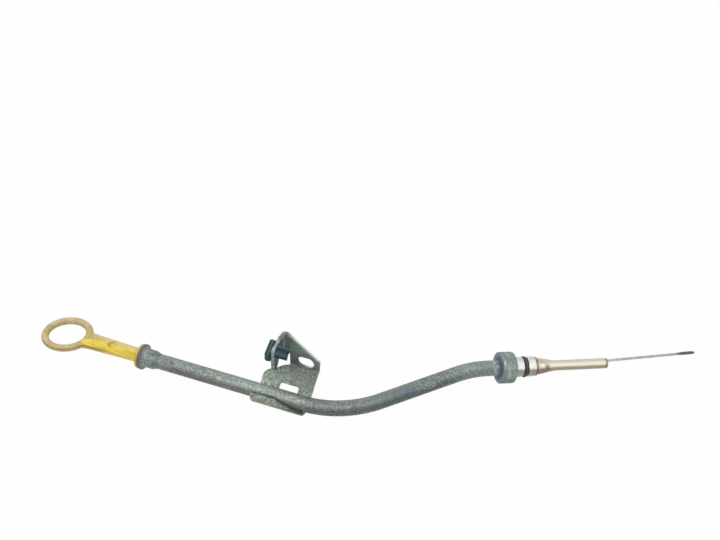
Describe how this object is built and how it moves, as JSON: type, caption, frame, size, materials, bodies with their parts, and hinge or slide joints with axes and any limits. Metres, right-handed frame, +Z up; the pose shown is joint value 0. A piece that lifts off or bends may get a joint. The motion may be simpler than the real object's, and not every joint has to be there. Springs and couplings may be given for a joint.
{
  "type": "engine oil dipstick",
  "caption": "Oil level dipstick with a ring handle, standing in its bent steel guide tube with a folded fixing bracket, a harness clip and a sealed stop collar.",
  "frame": {"origin": "centre of the overall box at the bench surface", "axes": "+X along the upper leg from the handle to the tip, +Y towards the side that the tube bends to, +Z up as it lies on a bench"},
  "size_m": [0.4016, 0.1782, 0.0441],
  "materials": {
    "handle": "worn yellow moulded plastic, stained brown",
    "mouth_seal": "plain black rubber, hidden in the mouth",
    "dipstick_blade": "bare spring steel, darkened at the leaf",
    "guide_tube": "dull mottled zinc plating",
    "bracket": "dull mottled zinc plating with paler cut edges",
    "harness_clip": "dark blue-black moulded plastic",
    "stop_collar": "dull zinc on the collar, bright turned spigot",
    "block_seal": "black rubber ring",
    "lower_tube": "bare steel tanned by oil and heat"
  },
  "bodies": {
    "root": {"handle": "handle", "mouth_seal": "mouth_seal", "dipstick_blade": "dipstick_blade", "guide_tube": "guide_tube", "bracket": "bracket", "harness_clip": "harness_clip", "stop_collar": "stop_collar", "block_seal": "block_seal", "lower_tube": "lower_tube"}
  },
  "joints": []
}
